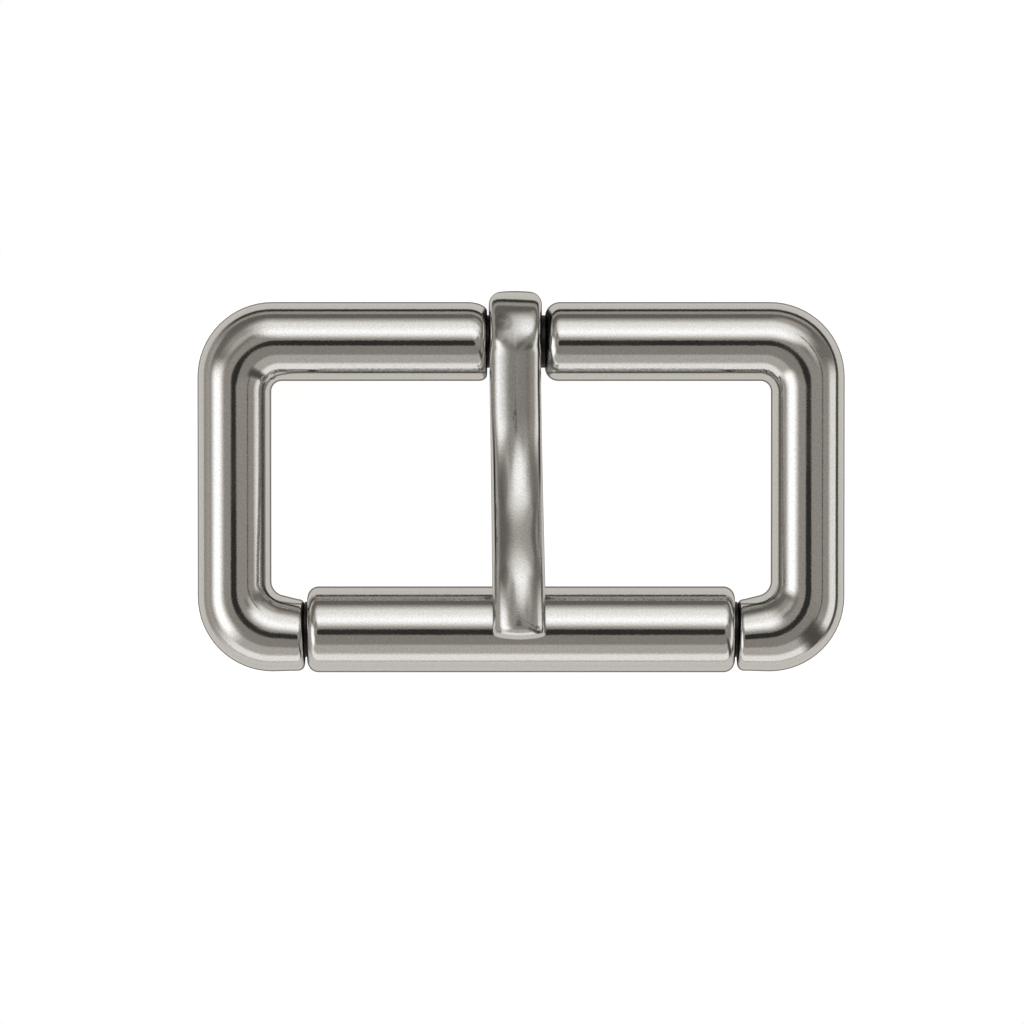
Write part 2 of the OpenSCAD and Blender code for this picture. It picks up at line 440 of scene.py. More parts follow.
def nickel(name, haze, grain_m, painted_shade, marks_and_shading, flank_haze=None):
    """Plate with a roughness of haze, which smudges raise, and a grain of the given depth in metres.

    painted_shade(tree, x, y) masks the recesses, where shade is painted in near black and the plate is
    rougher, and marks_and_shading(tree, x, y) gives a mask of dark marks, painted shade and painted
    reflections, and the relief under the grain. Where flank_haze is given, the steep flanks have that
    roughness instead, because they see less wear than the top."""
    metal = bpy.data.materials.new(name)
    metal.use_nodes = True
    tree = metal.node_tree
    shader = tree.nodes["Principled BSDF"]
    shader.inputs["Metallic"].default_value = 1.0
    smudges = noise(tree, SMUDGES_PER_M, SMUDGES_DETAIL)
    roughness = ramp(tree, smudges, *SMUDGES_SPAN, haze, haze + SMUDGES_DULL)
    if flank_haze is not None:
        is_top = ramp(tree, axes(tree, coordinate(tree, "Normal"))["Z"], *TOP_FACING)
        roughness = mixed(tree, is_top, flank_haze, roughness)
    place = axes(tree, coordinate(tree, "Object"))
    dull_painted_shade = painted_shade(tree, place["X"], place["Y"])
    marks_and_shade, surface = marks_and_shading(tree, place["X"], place["Y"])
    tree.links.new(mixed(tree, dull_painted_shade, roughness, RECESS_ROUGHNESS), shader.inputs["Roughness"])
    grain = noise(tree, GRAIN_PER_M)
    # painted shade, painted reflections and the dark marks all mix the colour towards near black
    colour = tree.nodes.new("ShaderNodeMix")
    colour.data_type = "RGBA"
    tree.links.new(strongest(tree, dull_painted_shade, marks_and_shade), colour.inputs["Factor"])
    tree.links.new(speckled(tree, grain), colour.inputs["A"])
    colour.inputs["B"].default_value = PAINTED_SHADE_COLOUR
    tree.links.new(colour.outputs["Result"], shader.inputs["Base Color"])
    surface = relief(tree, noise(tree, WAVES_PER_M, WAVES_DETAIL), WAVES_M, surface)
    tree.links.new(relief(tree, grain, grain_m, surface), shader.inputs["Normal"])
    return metal


# %% [markdown]
# The recesses are the slot with the neck and the loop's flanks in it, and the narrow gaps between the
# roller and the stubs. Their shade is painted into the colour as near black, and the plate there is
# rougher. Each is drawn from X and Y alone: the slot is in the half towards the heel, and the gaps are in
# the other half. Where a range has three numbers, the third is the width of its soft edges.

# %% Where shade is painted into the recesses
NECK_Y = neck.y / MM
SLOT_LEFT = -2.58
SLOT_RIGHT = 1.82
SLOT_EDGE = 0.08
STUB_END = 16.45
STUB_SHADE_X = (STUB_END - 0.01, STUB_END + 0.05)
ROLLER_HALF = 16.25
ROLLER_SHADE_X = (ROLLER_HALF - 0.06, ROLLER_HALF - 0.01)
LOOP_X = -0.44
LOOP_HALF = 2.02
LOOP_SHADE_OUT = (LOOP_HALF - 0.10, LOOP_HALF - 0.03)
LOOP_SHADE_Y = (NECK_Y - 3.0, NECK_Y + 2.6, 0.4)


# painted shade in the slot round the neck and in the gaps beside the roller
def slot_and_pin(tree, x, y):
    in_slot = product(tree, inside(tree, x, SLOT_LEFT, SLOT_RIGHT, SLOT_EDGE), ramp_mm(tree, y, 0, 1))
    past_stub = ramp_mm(tree, distance(tree, x), *STUB_SHADE_X, 1, 0)
    return strongest(tree, in_slot, product(tree, past_stub, ramp_mm(tree, y, -1, 0, 1, 0)))


# painted shade on the roller's ends, beside the gaps
def roller_ends(tree, x, y):
    return ramp_mm(tree, distance(tree, x), *ROLLER_SHADE_X)


# painted shade on the loop's flanks, inside the slot
def loop_flanks(tree, x, y):
    on_flank = ramp_mm(tree, distance(tree, x, LOOP_X * MM), *LOOP_SHADE_OUT)
    return product(tree, on_flank, inside(tree, y, *LOOP_SHADE_Y))


# %% [markdown]
# Nothing on a used buckle is flawless. A thin dark line is painted round the window on the bars' inner
# flanks, a painted reflection of the table's dark edge. It lies a little nearer to the window on the left.
# The window's upper left corner is chipped. Each mark is a mask that is drawn from X and Y, and its place
# is given in millimetres from the middle of the buckle.

# %% A chip in the frame's plate, and the painted dark line round the window
LINE_CORE = 0.3
WINDOW_MIDDLE = (0.0, NECK_Y - 11.165)
WINDOW_HALF = (19.0, 8.165)
WINDOW_R = 0.95
RIM_REFLECTION_OUT = 0.60
RIM_REFLECTION_OUT_LEFT = 0.45
RIM_REFLECTION_LEFT_X = (-18.5, -17.0)
RIM_REFLECTION_HALF = 0.10
RIM_REFLECTION_DARK = 0.7
CHIP = ((-18.85, 7.95), (0.30, 0.22))
CHIP_M = 8e-5


def spot(tree, x, y, middle, half):
    """1 in the middle of a spot, falling to 0 at its half sizes."""
    aside = math_node(tree, "DIVIDE", math_node(tree, "SUBTRACT", x, middle[0] * MM), half[0] * MM)
    along = math_node(tree, "DIVIDE", math_node(tree, "SUBTRACT", y, middle[1] * MM), half[1] * MM)
    return ramp(tree, squared_sum(tree, aside, along), 0, 1, 1, 0)


def thin_line(tree, away, half, dark=1.0):
    """A line that is evenly dark over its core and has faded out at half its width."""
    return ramp_mm(tree, away, LINE_CORE * half, half, dark, 0)


def beyond_window(tree, x, y):
    """How far outside the rounded window a place lies, in metres."""
    past = []
    for value, middle, half in zip((x, y), WINDOW_MIDDLE, WINDOW_HALF):
        beyond = math_node(tree, "SUBTRACT", distance(tree, value, middle * MM), (half - WINDOW_R) * MM)
        past.append(strongest(tree, beyond, 0))
    return math_node(tree, "SUBTRACT", math_node(tree, "SQRT", squared_sum(tree, *past)), WINDOW_R * MM)


def frame_chip_and_rim_reflection(tree, x, y):
    # painted reflection: a thin dark line round the window, where the inner flanks mirror the table's dark
    # edge
    rim_reflection_out = ramp_mm(tree, x, *RIM_REFLECTION_LEFT_X, RIM_REFLECTION_OUT_LEFT * MM, RIM_REFLECTION_OUT * MM)
    off_rim_reflection = distance(tree, beyond_window(tree, x, y), rim_reflection_out)
    chip = spot(tree, x, y, *CHIP)
    return thin_line(tree, off_rim_reflection, RIM_REFLECTION_HALF, RIM_REFLECTION_DARK), relief(tree, chip, -CHIP_M)


def roller_flaws(tree, x, y):
    """None that show: no dark mask, and no relief under the grain."""
    return 0.0, None


# %% [markdown]
# The tongue is the piece that is handled most. It has a small dent with a tail, a crease across its tip
# and three dark specks there, with shade painted into the dent and the crease. Dark reflections are
# painted on it too: a mottled patch on its loop's left top, the level stretch except for a thin bright
# strip along the middle, and two faint patches on its left flank. Its relief also steepens the climb of the
# arm a little, so that the bright and dark places on it fall where the photograph shows them.

# %% Spots on the tongue, and the steeper climb
DENT = (((-0.46, 5.07), (0.15, 0.34)), ((-0.56, 4.72), (0.10, 0.24)))
DENT_M = 5e-6
# painted shade in the dent, over its hollow in the relief
DENT_DARK = 0.35
SPECKS = (((1.22, -10.95), (0.26, 0.20)), ((1.38, -11.20), (0.16, 0.20)), ((-1.59, -11.27), (0.14, 0.12)))
SPECK_DARK = 0.7
# painted dark reflections on the left flank of the arm
FLANK_DARK_PATCHES = (((-1.28, -0.20), (0.38, 2.3)), ((-1.20, -7.10), (0.34, 1.2)))
FLANK_PATCH_DARK = 0.42
# painted dark reflection on the loop's left top, mottled
LOOP_DARK_PATCH = ((-1.30, 12.05), (0.85, 0.95))
LOOP_PATCH_PER_M = 2200.0
LOOP_PATCH_MOTTLE = (0.35, 0.6, 0.26, 0.50)
# painted dark reflection on the level stretch, left out along a thin bright middle strip
LEVEL_SHADE_Y = (5.6, 10.0, 2.0)
LEVEL_SHADE_OUT = (0.95, 1.35)
LEVEL_SHADE_DARK = 0.21
BRIGHT_MIDDLE_OUT = (0.0, 0.22)
STEEPER = ((4.16, -11.00, 0.78), (-0.74, -7.24, 0.11))


def spots(tree, x, y, places):
    return strongest(tree, *(spot(tree, x, y, *place) for place in places))


# painted dark reflection on the loop's left top, mottled by noise
def loop_dark_patch(tree, x, y):
    mottle = ramp(tree, noise(tree, LOOP_PATCH_PER_M), *LOOP_PATCH_MOTTLE)
    return product(tree, spot(tree, x, y, *LOOP_DARK_PATCH), mottle)


# painted dark reflection on the level stretch's top, left out along a thin middle strip
def level_stretch_shade(tree, x, y):
    from_middle = distance(tree, x, LOOP_X * MM)
    off_bright_middle = ramp_mm(tree, from_middle, *BRIGHT_MIDDLE_OUT, 0, LEVEL_SHADE_DARK)
    near_middle = ramp_mm(tree, from_middle, *LEVEL_SHADE_OUT, 1, 0)
    return product(tree, inside(tree, y, *LEVEL_SHADE_Y), near_middle, off_bright_middle)


def steeper_climb(tree, y):
    """Relief that rises from one place along Y to the next, by a height in millimetres."""
    surface = None
    for foot, top, height in STEEPER:
        surface = relief(tree, ramp_mm(tree, y, top, foot, 1, 0), height * MM, surface)
    return surface


# %% [markdown]
# The crease is a groove that starts faint, deepens and stops sharply, so its masks are given as shares of
# its length, and shade is painted into it. The dark lines are painted reflections that follow the arm's
# edges, and so they lean with it. The right one fades halfway along the arm, and the left one is darkest
# there. Their run is the distance from the neck's axis.

# %% Lines on the tongue
CREASE_FROM = Vector((-0.39, -10.08, 0))
CREASE_TO = Vector((1.50, -11.13, 0))
CREASE_HALF = 0.10
CREASE_STARTS = -0.05
CREASE_DEEPENS = (0.2, 0.9)
CREASE_FAINT = 0.1
CREASE_STOPS = 0.95
# painted shade in the crease, over its groove in the relief
CREASE_DARK = 0.5
LEAN = math.tan(math.radians(0.97))
LEAN_FROM = 3.3
EDGE_OUT_LEFT = 1.69
EDGE_OUT_RIGHT = 1.745
EDGE_HALF = 0.10
EDGE_RUN = (0, 19, 1.5)
RIGHT_FADES = (9.5, 12, 0.95, 0.40)
LEFT_DARKENS = (5, 10, 0.30, 0.95)
LEFT_FADES = (15, 18, 1, 0.4)


def crease(tree, x, y):
    length = (CREASE_TO - CREASE_FROM).length * MM
    step = (CREASE_TO - CREASE_FROM).normalized()
    from_x = math_node(tree, "SUBTRACT", x, CREASE_FROM.x * MM)
    from_y = math_node(tree, "SUBTRACT", y, CREASE_FROM.y * MM)
    along = math_node(tree, "ADD", product(tree, from_x, step.x), product(tree, from_y, step.y))
    aside = distance(tree, product(tree, from_y, step.x), product(tree, from_x, step.y))
    deepens = ramp(tree, along, *(share * length for share in CREASE_DEEPENS), CREASE_FAINT, 1)
    starts = ramp(tree, along, CREASE_STARTS * length, 0)
    stops = ramp(tree, along, CREASE_STOPS * length, length, 1, 0)
    return product(tree, deepens, starts, stops, ramp_mm(tree, aside, 0, CREASE_HALF, 1, 0))


# painted reflections: thin dark lines along the arm's edges
def painted_edge_reflections(tree, x, y):
    run = math_node(tree, "SUBTRACT", neck.y, y)
    leaning = strongest(tree, math_node(tree, "SUBTRACT", run, LEAN_FROM * MM), 0)
    upright = math_node(tree, "SUBTRACT", x, product(tree, leaning, LEAN))
    aside = math_node(tree, "SUBTRACT", upright, LOOP_X * MM)
    is_right = math_node(tree, "GREATER_THAN", aside, 0)
    edge_out = mixed(tree, is_right, EDGE_OUT_LEFT * MM, EDGE_OUT_RIGHT * MM)
    line = thin_line(tree, distance(tree, distance(tree, aside), edge_out), EDGE_HALF)
    on_left = product(tree, ramp_mm(tree, run, *LEFT_DARKENS), ramp_mm(tree, run, *LEFT_FADES))
    strength = mixed(tree, is_right, on_left, ramp_mm(tree, run, *RIGHT_FADES))
    return product(tree, line, strength, inside(tree, run, *EDGE_RUN))


# %% The tongue's marks, painted shade and painted reflections together
def tongue_marks_and_shade(tree, x, y):
    dent = spots(tree, x, y, DENT)
    line = crease(tree, x, y)
    surface = relief(tree, math_node(tree, "ADD", dent, line), -DENT_M, steeper_climb(tree, y))
    dark = strongest(
        tree,
        product(tree, dent, DENT_DARK),
        product(tree, line, CREASE_DARK),
        painted_edge_reflections(tree, x, y),
        level_stretch_shade(tree, x, y),
        loop_dark_patch(tree, x, y),
        product(tree, spots(tree, x, y, FLANK_DARK_PATCHES), FLANK_PATCH_DARK),
        product(tree, spots(tree, x, y, SPECKS), SPECK_DARK),
    )
    return dark, surface


# %% The three finishes
HAZE = 0.07
GRAIN_M = 2.6e-6
TONGUE_HAZE = 0.21
TONGUE_FLANK_HAZE = 0.10
TONGUE_GRAIN_M = 3.6e-6

frame_nickel = nickel("nickel plate, frame", HAZE, GRAIN_M, slot_and_pin, frame_chip_and_rim_reflection)
roller_nickel = nickel("nickel plate, roller", HAZE, GRAIN_M, roller_ends, roller_flaws)
tongue_nickel = nickel(
    "nickel plate, tongue", TONGUE_HAZE, TONGUE_GRAIN_M, loop_flanks, tongue_marks_and_shade, TONGUE_FLANK_HAZE
)
print("finishes:", [metal.name for metal in (frame_nickel, roller_nickel, tongue_nickel)])

# %% [markdown]
# ## The frame casting
# On the real buckle the frame is one casting: a round bar bent into a rectangle, with a narrow neck
# in the heel bar for the tongue, and two stubs that carry a thinner pin inside the roller. It could be a
# curve with a round bevel, but its inner corners are much tighter than its outer ones, and a bevelled
# curve would fold over itself there. So two rails are drawn instead, the outer and the inner edge, and each
# section spans them.

# %% Sizes of the frame
SIDE_OUT = 24.6
SIDE_IN = 19.0
HEEL_R = 3.0
SIDE_R = 2.8
NECK_R = 2.0
PIN_R = 2.1
STUB_OUT_Y = -25.1
STUB_IN_Y = -19.33
CORNER_OUT_R = 5.7
HEEL_CORNER_IN_R = 0.8
STUB_CORNER_IN_R = 1.1
CORNER_STEPS = 16
ROUND_STEPS = 10
GUARD = 0.12
QUARTER = math.pi / 2


def quarter_turns(steps):
    return [QUARTER * step / steps for step in range(steps + 1)]


def bar(outer, inner, half_height):
    """A section that spans from the outer rail to the inner one."""
    outer = Vector((*outer, 0))
    inner = Vector((*inner, 0))
    middle = (outer + inner) / 2
    return section(middle, outer - middle, inner - middle, (0, 0, half_height))


# %% [markdown]
# The heel bar ends beside the slot in a soft rounding, which on the left is much longer at the back than at
# the front. A short guard section sits just outside every rounding: without it, the smooth shading would
# spread the first tilt of the rounding along the whole straight bar. The straight stretches need no more
# sections than that, because the skin spans them from one guard to the next.

# %% The heel bar's end beside the slot, from the neck outwards
def heel_end(end_x, back_round, front_round):
    """back_round and front_round are how far each rounding reaches along the bar and into it."""
    rows = [
        bar((end_x + GUARD, NECK_R), (end_x + GUARD, -NECK_R), NECK_R),
        bar((end_x, NECK_R), (end_x, -NECK_R), NECK_R),
    ]
    depth = (back_round[1] + front_round[1]) / 2
    for turn in quarter_turns(ROUND_STEPS):
        along = 1 - math.cos(turn)
        lost = 1 - math.sin(turn)
        outer = (end_x - back_round[0] * along, HEEL_R - back_round[1] * lost)
        inner = (end_x - front_round[0] * along, front_round[1] * lost - HEEL_R)
        rows.append(bar(outer, inner, HEEL_R - depth * lost))
    rows.append(bar((outer[0] - GUARD, HEEL_R), (inner[0] - GUARD, -HEEL_R), HEEL_R))
    return rows


# %% The two corners and the stub
def heel_corner():
    centre_out = Vector((CORNER_OUT_R - SIDE_OUT, HEEL_R - CORNER_OUT_R))
    centre_in = Vector((HEEL_CORNER_IN_R - SIDE_IN, -HEEL_R - HEEL_CORNER_IN_R))
    rows = [bar((centre_out.x + GUARD, HEEL_R), (centre_in.x + GUARD, -HEEL_R), HEEL_R)]
    for turn in quarter_turns(CORNER_STEPS):
        ray = Vector((-math.sin(turn), math.cos(turn)))
        share = math.sin(turn) ** 2
        half_height = HEEL_R + (SIDE_R - HEEL_R) * share
        rows.append(bar(centre_out + CORNER_OUT_R * ray, centre_in + HEEL_CORNER_IN_R * ray, half_height))
    rows.append(bar((-SIDE_OUT, centre_out.y - GUARD), (-SIDE_IN, centre_in.y - GUARD), SIDE_R))
    return rows


STUB_SLOPE = math.radians(13)
STUB_ROUND = 0.5
STUB_END_TOP = -19.60
STUB_END_LOW = -25.05
STUB_END_R = 2.7


def stub_corner():
    centre_out = Vector((CORNER_OUT_R - SIDE_OUT, STUB_OUT_Y + CORNER_OUT_R))
    centre_in = Vector((STUB_CORNER_IN_R - SIDE_IN, STUB_IN_Y + STUB_CORNER_IN_R))
    rows = [bar((-SIDE_OUT, centre_out.y + GUARD), (-SIDE_IN, centre_in.y + GUARD), SIDE_R)]
    for turn in quarter_turns(CORNER_STEPS):
        ray_out = Vector((-math.cos(turn), -math.sin(turn)))
        inner_turn = turn * (1 - STUB_SLOPE / QUARTER)
        ray_in = Vector((-math.cos(inner_turn), -math.sin(inner_turn)))
        rows.append(bar(centre_out + CORNER_OUT_R * ray_out, centre_in + STUB_CORNER_IN_R * ray_in, SIDE_R))
    return rows


def stub_end():
    start_x = -STUB_END - STUB_ROUND
    pin_low = -SPAN - PIN_R
    pin_top = -SPAN + PIN_R
    before = Vector((start_x - GUARD, STUB_END_TOP + GUARD * math.tan(STUB_SLOPE)))
    rows = [bar((start_x - GUARD, STUB_END_LOW), before, STUB_END_R)]
    for turn in quarter_turns(ROUND_STEPS):
        along = STUB_ROUND * math.sin(turn)
        lost = STUB_ROUND * (1 - math.cos(turn))
        outer = (start_x + along, STUB_END_LOW + lost)
        inner = (start_x + along, STUB_END_TOP - lost)
        rows.append(bar(outer, inner, STUB_END_R - lost))
    rows.append(bar((-STUB_END, pin_low), (-STUB_END, pin_top), PIN_R))
    rows.append(bar((-STUB_END + GUARD, pin_low), (-STUB_END + GUARD, pin_top), PIN_R))
    return rows


# %% [markdown]
# Half of the ring runs from the neck round the left side to the pin. The other half is the same walk
# mirrored and taken backwards, with its own rounding beside the slot.

# %% Put the frame together
LEFT_BACK_ROUND = (1.5, 0.7)
LEFT_FRONT_ROUND = (0.6, 0.5)
RIGHT_BACK_ROUND = (1.15, 1.1)
RIGHT_FRONT_ROUND = (1.0, 1.0)
FRAME_STEPS = 96


def half_frame(end_x, back_round, front_round):
    return heel_end(end_x, back_round, front_round) + heel_corner() + stub_corner() + stub_end()


def mirrored(row):
    flip = Vector((-1, 1, 1))
    turned = dict(row)
    for part in ("middle", "over", "under"):
        turned[part] = row[part] * flip
    return turned


left = half_frame(SLOT_LEFT, LEFT_BACK_ROUND, LEFT_FRONT_ROUND)
right = half_frame(-SLOT_RIGHT, RIGHT_BACK_ROUND, RIGHT_FRONT_ROUND)
ring = left + [mirrored(row) for row in reversed(right)]
casting = settle(skinned("frame_casting", ring, FRAME_STEPS, True, frame_nickel))
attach(casting, "frame")
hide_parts("frame")

# %% [markdown]
# ## The roller
# The roller is a short tube with soft edges, turned on a lathe. Here its profile is walked once round:
# along the outside, over the edge, down the end face and back through the bore. Each point of the profile
# is a ring, so a ring is simply a round section whose middle lies on the axis, and the same skin fits.

# %% Turn the roller
ROLLER_R = 3.27
ROLLER_EDGE_R = 0.85
BORE_R = 2.18
BORE_EDGE = 0.1
ROLLER_STEPS = 128


def ring_at(x, radius):
    return section((x, -SPAN, 0), (0, 0, radius), (0, 0, -radius), (0, radius, 0))


def roller_half():
    """From the middle of the outside over one end to the middle of the bore."""
    start_x = ROLLER_HALF - ROLLER_EDGE_R
    rows = [ring_at(start_x - GUARD, ROLLER_R)]
    for turn in quarter_turns(ROUND_STEPS):
        lost = ROLLER_EDGE_R * (1 - math.cos(turn))
        rows.append(ring_at(start_x + ROLLER_EDGE_R * math.sin(turn), ROLLER_R - lost))
    rows.append(ring_at(ROLLER_HALF, BORE_R + BORE_EDGE))
    rows.append(ring_at(ROLLER_HALF - BORE_EDGE, BORE_R))
    return rows


tube = roller_half() + [mirrored(row) for row in reversed(roller_half())]
roller = settle(skinned("roller_tube", tube, ROLLER_STEPS, True, roller_nickel))
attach(roller, "roller")
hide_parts("roller")

# %% [markdown]
# ## The tongue
# The tongue starts as a boxy loop round the neck, runs level out of the slot, and then climbs in one S over
# the roller, where it ends in a blunt round nose. From the front only its reflections tell of the climb: a
# dark level stretch, a bright slope and a dark top. Its sections stand upright, one behind the other, from
# the back of the loop to the nose. The loop's are boxy, the arm's are crowned ovals, and the one turns into
# the other within a little more than two millimetres.

# %% Sizes of the tongue
LOOP_R = 3.84
LOOP_EDGE_R = 1.0
LOOP_POWER = 7.0
LOOP_BOW = 0.05
ARM_TOP = 3.79
ARM_HALF = 1.95
ARM_POWER = 2.0
ROOT_POWER = 1.6
ARM_ROOT_T = 3.2
ARM_TIP_T = 4.4
CROWN = 1.40
ROOT_CROWN = 1.08
ROOT_FADES = (5.0, 10.0)
LEVEL_RUN = 5.35
REACH = 22.36
REST_GAP = 0.1
CREST = ROLLER_R + REST_GAP + ARM_TIP_T
NOSE_R = 1.15
CREST_RUN = REACH - NOSE_R
UNDER_ROOT = ARM_TOP - ARM_ROOT_T


def blend(value, start, end):
    """0 before start, 1 after end, with a smooth change between."""
    share = max(0.0, min(1.0, (value - start) / (end - start)))
    return share * share * (3 - 2 * share)


# %% The line along the top of the tongue
LOOP_CREST_RUN = 0.45
EARLY_RISE = 0.13
EARLY_FROM = -1.0
EARLY_TO = 7.0
GENTLE_FROM = 6.50
STEEP_FROM = 11.40
STEEP_TO = 17.90
STEEP_SHARE = 0.342
CLIMB = CREST - ARM_TOP - EARLY_RISE


def top_line(run):
    if run <= LOOP_CREST_RUN:
        share = (run - LOOP_CREST_RUN) / (LOOP_R + LOOP_CREST_RUN)
        return ARM_TOP * math.sqrt(max(0, 1 - share**2))
    rise = EARLY_RISE * blend(run, EARLY_FROM, EARLY_TO)
    rise -= EARLY_RISE * blend(LOOP_CREST_RUN, EARLY_FROM, EARLY_TO)
    rise += CLIMB * (1 - STEEP_SHARE) * blend(run, GENTLE_FROM, CREST_RUN)
    rise += CLIMB * STEEP_SHARE * blend(run, STEEP_FROM, STEEP_TO)
    drop = NOSE_R - math.sqrt(max(0, NOSE_R**2 - max(0, run - CREST_RUN) ** 2))
    return ARM_TOP + rise - drop


climbed = top_line(CREST_RUN) - ARM_TOP
print(f"the arm climbs {climbed:.2f} mm before its nose, {CREST_RUN:.2f} mm from the neck")

# %% Upright sections of the tongue
SHOULDER_FROM = -1.4
SHOULDER_TO = 0.9
LOOP_TILT = math.tan(math.radians(9.5))
TILT_FROM = -1.6
TILT_TO = 0.9
LOOP_BOW_TO = -1.8
LOOP_NARROWS_TO = 1.2
TIP_HALF = 2.0
TIP_WIDENS_FROM = 8.0


def half_width(run):
    loop_extra = (LOOP_HALF - ARM_HALF) * (1 - blend(run, 0, LOOP_NARROWS_TO))
    tip_extra = (TIP_HALF - ARM_HALF) * blend(run, TIP_WIDENS_FROM, REACH)
    return ARM_HALF + loop_extra + tip_extra


def tongue_section(run, top, under, half, power_under=LOOP_POWER):
    """The section at a run from the neck's axis, between two heights, and half its width to each side."""
    share = blend(run, SHOULDER_FROM, SHOULDER_TO)
    past_root = blend(run, *ROOT_FADES)
    middle = (top - ROOT_CROWN - (CROWN - ROOT_CROWN) * past_root) * share
    arm_power = ROOT_POWER + (ARM_POWER - ROOT_POWER) * past_root
    power = LOOP_POWER + (arm_power - LOOP_POWER) * share
    x = LOOP_X + LEAN * max(0, run - LEAN_FROM)
    over = (0, 0, top - middle)
    below = (0, 0, under - middle)
    tilt = (0, 0, half * LOOP_TILT * top / ARM_TOP * (1 - blend(run, TILT_FROM, TILT_TO)))
    bow = (0, -LOOP_BOW * (1 - blend(run, -LOOP_R, LOOP_BOW_TO)), 0)
    return section((x, -run, middle), over, below, (half, 0, 0), power, power_under, bow, tilt)


# %% The loop, from its back to where the arm leaves it
LOOP_STEPS = 30
FILLET_STEPS = 6


def loop_rows():
    """Round the neck from the back of the loop, and the fillet where the arm's underside begins."""
    rows = []
    for turn in quarter_turns(LOOP_STEPS):
        run = -LOOP_R * math.cos(turn)
        past_edge = max(0, -run - (LOOP_R - LOOP_EDGE_R))
        half = half_width(run) - LOOP_EDGE_R + math.sqrt(max(0, LOOP_EDGE_R**2 - past_edge**2))
        rows.append(tongue_section(run, top_line(run), -LOOP_R * math.sin(turn), half))
    for turn in quarter_turns(LOOP_STEPS)[1:]:
        run = LOOP_R * math.sin(turn)
        rows.append(tongue_section(run, top_line(run), -LOOP_R * math.cos(turn), half_width(run)))
    for turn in quarter_turns(FILLET_STEPS)[1:]:
        run = LOOP_R + UNDER_ROOT * (1 - math.cos(turn))
        power_under = LOOP_POWER + (ARM_POWER - LOOP_POWER) * blend(turn, 0, QUARTER)
        rows.append(
            tongue_section(run, top_line(run), UNDER_ROOT * math.sin(turn), half_width(run), power_under)
        )
    return rows


# %% The arm and its nose
ARM_STEPS = 36
NOSE_STEPS = 12
NOSE_LOW_R = 1.0
NOSE_CORNER_R = 0.45
NOSE_SAG = 0.7
NOSE_BOW = 0.12
CAP_SHARES = (0.75, 0.4, 0.0)


def under_line(run):
    root = top_line(LEVEL_RUN) - UNDER_ROOT
    share = max(0, min(1, (run - LEVEL_RUN) / (CREST_RUN - LEVEL_RUN)))
    thickness = root + (top_line(CREST_RUN) - CREST + ARM_TIP_T - root) * share
    lift = run - (REACH - NOSE_LOW_R)
    rounding = NOSE_LOW_R - math.sqrt(NOSE_LOW_R**2 - lift**2) if lift > 0 else 0
    return top_line(min(run, CREST_RUN)) - thickness + rounding


def arm_rows():
    """The arm, the nose that rounds off on every side, and the flat cap that closes it."""
    rows = []
    for step in range(ARM_STEPS):
        run = LEVEL_RUN + (CREST_RUN - LEVEL_RUN) * step / ARM_STEPS
        rows.append(tongue_section(run, top_line(run), under_line(run), half_width(run), ARM_POWER))
    for turn in quarter_turns(NOSE_STEPS):
        run = CREST_RUN + NOSE_R * math.sin(turn)
        past_corner = max(0, run - (REACH - NOSE_CORNER_R))
        half = half_width(run) - NOSE_CORNER_R + math.sqrt(max(0, NOSE_CORNER_R**2 - past_corner**2))
        row = tongue_section(run, top_line(run), under_line(run), half, ARM_POWER)
        sag = Vector((0, 0, NOSE_SAG * (1 - math.cos(turn))))
        row["middle"] = Vector((row["middle"].x, -run, top_line(CREST_RUN) - CROWN)) - sag
        row["over"] = Vector((0, 0, top_line(run))) - Vector((0, 0, row["middle"].z))
        row["under"] = Vector((0, 0, under_line(run))) - Vector((0, 0, row["middle"].z))
        row["bow"] = Vector((0, NOSE_BOW * math.sin(turn), 0))
        rows.append(row)
    last = rows[-1]
    for share in CAP_SHARES:
        rows.append({**last, "over": last["over"] * share, "under": last["under"] * share})
    return rows


# %% [markdown]
# The eye that the neck passes through is bored last, as on a real tongue whose loop is drilled. A Boolean
# with a smooth cylinder does that, and its rim stays a crisp edge.

# %% Skin the tongue and bore its eye
EYE_R = 2.08
EYE_STEPS = 128
TONGUE_STEPS = 96
DRILL_LENGTH = 4 * LOOP_HALF


def drill():
    shape = bmesh.new()
    turn_to_x = Matrix.Rotation(QUARTER, 4, "Y")
    sizes = {"radius1": EYE_R, "radius2": EYE_R, "depth": DRILL_LENGTH}
    bmesh.ops.create_cone(shape, cap_ends=True, segments=EYE_STEPS, matrix=turn_to_x, **sizes)
    mesh = bpy.data.meshes.new("drill")
    shape.to_mesh(mesh)
    shape.free()
    tool = bpy.data.objects.new("drill", mesh)
    bpy.context.scene.collection.objects.link(tool)
    return tool


def bored(piece, tool):
    cut = piece.modifiers.new("eye", "BOOLEAN")
    cut.operation = "DIFFERENCE"
    cut.solver = "EXACT"
    cut.object = tool
    keep_as_mesh(piece)
    bpy.data.objects.remove(tool)
    return piece


tongue = skinned("tongue_prong", loop_rows() + arm_rows(), TONGUE_STEPS, False, tongue_nickel)
tongue = settle(bored(tongue, drill()))
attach(tongue, "tongue")
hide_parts("tongue")

# %% [markdown]
# ## The studio
# A mirror shows its room, so the room is drawn as directions: how far from straight overhead, and on which
# side. Every soft light and dark card is one row of a table, and the world shader lays the rows over each
# other, from the first to the last. Azimuth and spread say on which side a panel is and how far it reaches
# to either side of that. Start and end say how far from overhead it begins and stops. Edge, rise and fall
# are the widths of its soft edges, all in degrees. It could be built from area lights, but rows are easier
# to nudge, and nothing casts a hard shadow. The camera itself sees only a plain pale backdrop.

